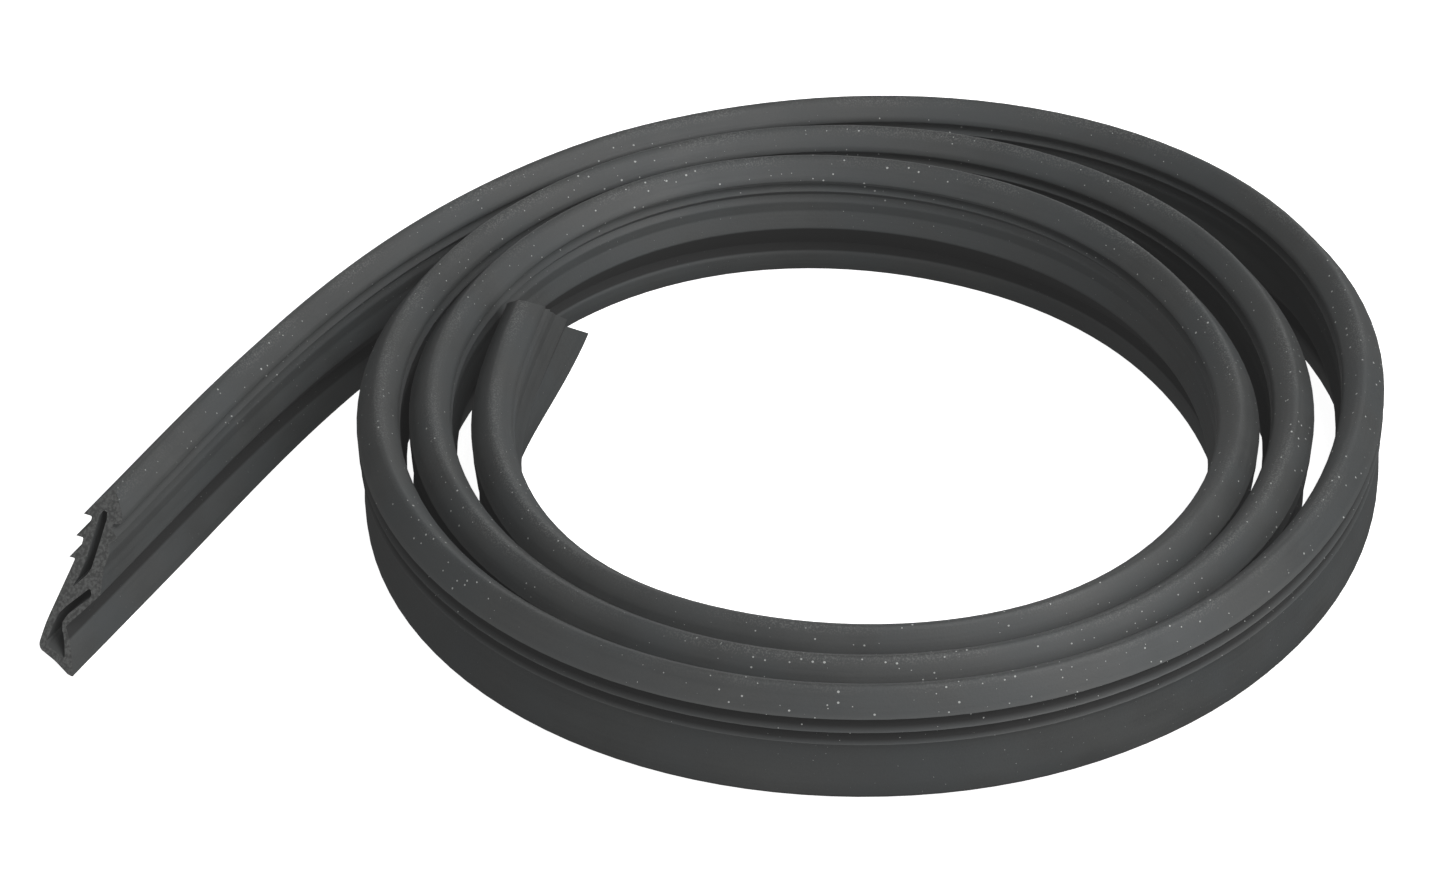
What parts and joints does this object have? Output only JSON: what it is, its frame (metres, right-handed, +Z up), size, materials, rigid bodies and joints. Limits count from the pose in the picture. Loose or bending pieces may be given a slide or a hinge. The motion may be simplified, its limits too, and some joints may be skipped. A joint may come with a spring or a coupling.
{
  "type": "dishwasher door gasket",
  "caption": "Extruded black rubber door seal strip with clip barbs, a soft lobe and a lower lip, supplied loosely coiled on edge with both ends cut at a slant.",
  "frame": {"origin": "middle of the bounding box, on the level that the coil stands on", "axes": "+Z up, square to the plane of the coil; +X along the longest extent, from the free outer end towards the coil; the free outer end points to -X and -Y"},
  "size_m": [0.2464, 0.1922, 0.0255],
  "materials": {
    "rubber": "matt black moulded rubber with a faint dusty bloom"
  },
  "bodies": {
    "root": {"gasket_strip": "rubber"}
  },
  "joints": []
}
